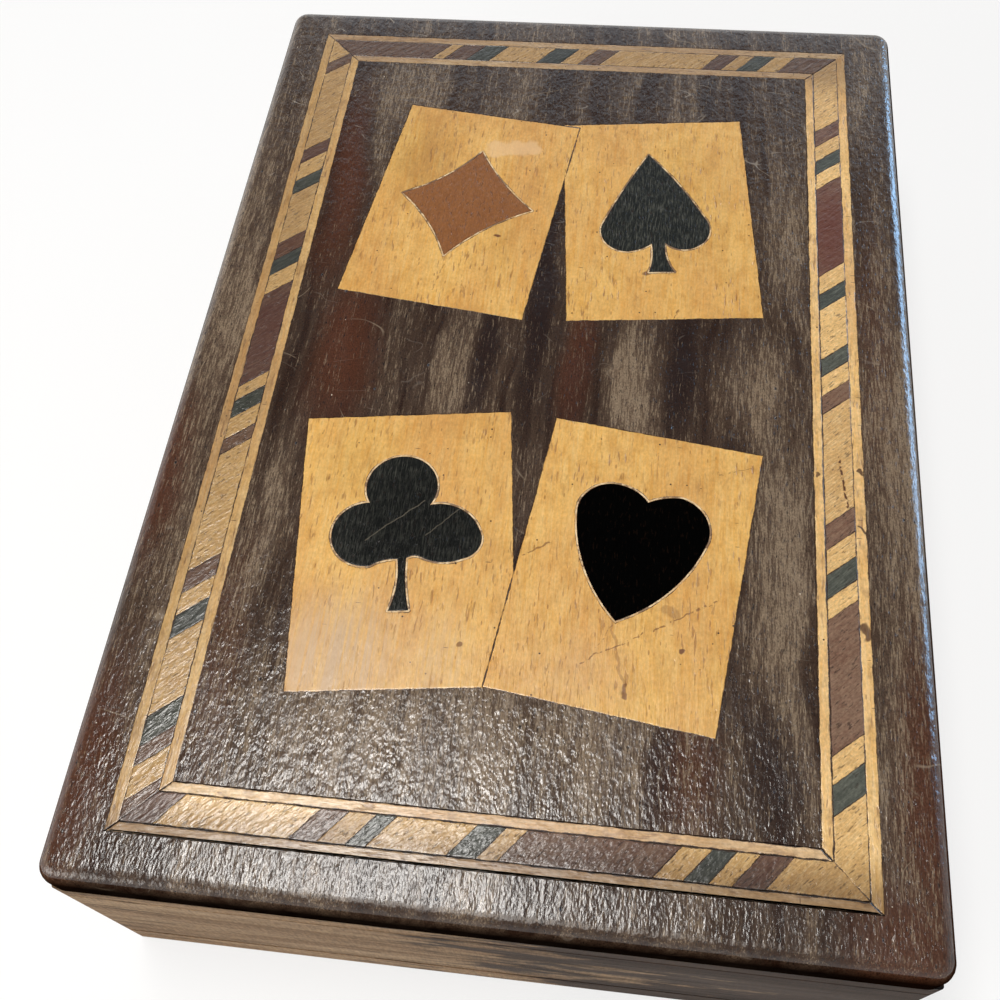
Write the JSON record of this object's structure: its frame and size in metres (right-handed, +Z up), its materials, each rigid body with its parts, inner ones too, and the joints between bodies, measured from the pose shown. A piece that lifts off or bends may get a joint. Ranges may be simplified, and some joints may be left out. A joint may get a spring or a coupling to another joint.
{
  "type": "playing card box with drawer",
  "caption": "Flat inlaid wooden box for packs of playing cards: marquetry top with cards and banding, and a divided drawer that slides out of one end.",
  "frame": {"origin": "middle of the box's underside, on the surface it stands on", "axes": "+X across the box, +Y along it away from the drawer front, +Z up"},
  "size_m": [0.106, 0.1554, 0.041],
  "materials": {
    "top_board_wood": "satin varnish over dark brown figured hardwood",
    "stringing_wood": "satin varnish over pale hardwood line",
    "band_pale_wood": "satin varnish over pale hardwood",
    "band_brown_wood": "satin varnish over red-brown hardwood",
    "band_dark_wood": "satin varnish over green-black dyed hardwood",
    "card_wood": "satin varnish over golden yellow hardwood",
    "diamond_wood": "satin varnish over reddish brown hardwood",
    "black_mark_wood": "satin varnish over black dyed hardwood",
    "heart_wood": "black dyed hardwood",
    "kerf_filler": "pale wood filler in the saw cut",
    "carcass_wood": "worn varnish over pale softwood",
    "front_wood": "worn varnish over pale softwood",
    "drawer_wood": "bare pale softwood"
  },
  "bodies": {
    "box": {"back_panel": "carcass_wood", "band_far_brown": "band_brown_wood", "band_far_dark": "band_dark_wood", "band_far_pale": "band_pale_wood", "band_left_brown": "band_brown_wood", "band_left_dark": "band_dark_wood", "band_left_pale": "band_pale_wood", "band_near_brown": "band_brown_wood", "band_near_dark": "band_dark_wood", "band_near_pale": "band_pale_wood", "band_right_brown": "band_brown_wood", "band_right_dark": "band_dark_wood", "band_right_pale": "band_pale_wood", "base_board": "carcass_wood", "card_club": "card_wood", "card_diamond": "card_wood", "card_heart": "card_wood", "card_spade": "card_wood", "filler_club": "kerf_filler", "filler_diamond": "kerf_filler", "filler_heart": "kerf_filler", "filler_spade": "kerf_filler", "mark_club": "black_mark_wood", "mark_diamond": "diamond_wood", "mark_heart": "heart_wood", "mark_spade": "black_mark_wood", "side_left": "carcass_wood", "side_right": "carcass_wood", "stringing_inner_far": "stringing_wood", "stringing_inner_left": "stringing_wood", "stringing_inner_near": "stringing_wood", "stringing_inner_right": "stringing_wood", "stringing_outer_far": "stringing_wood", "stringing_outer_left": "stringing_wood", "stringing_outer_near": "stringing_wood", "stringing_outer_right": "stringing_wood", "top_board": "top_board_wood", "upper_board": "carcass_wood"},
    "drawer": {"drawer_back": "drawer_wood", "drawer_divider": "drawer_wood", "drawer_floor": "drawer_wood", "drawer_front": "front_wood", "drawer_side_left": "drawer_wood", "drawer_side_right": "drawer_wood"}
  },
  "joints": [
    {"name": "drawer_slide", "type": "slide", "parent": "box", "child": "drawer", "axis": [0, -1, 0], "range_m": [0, 0.12]}
  ]
}
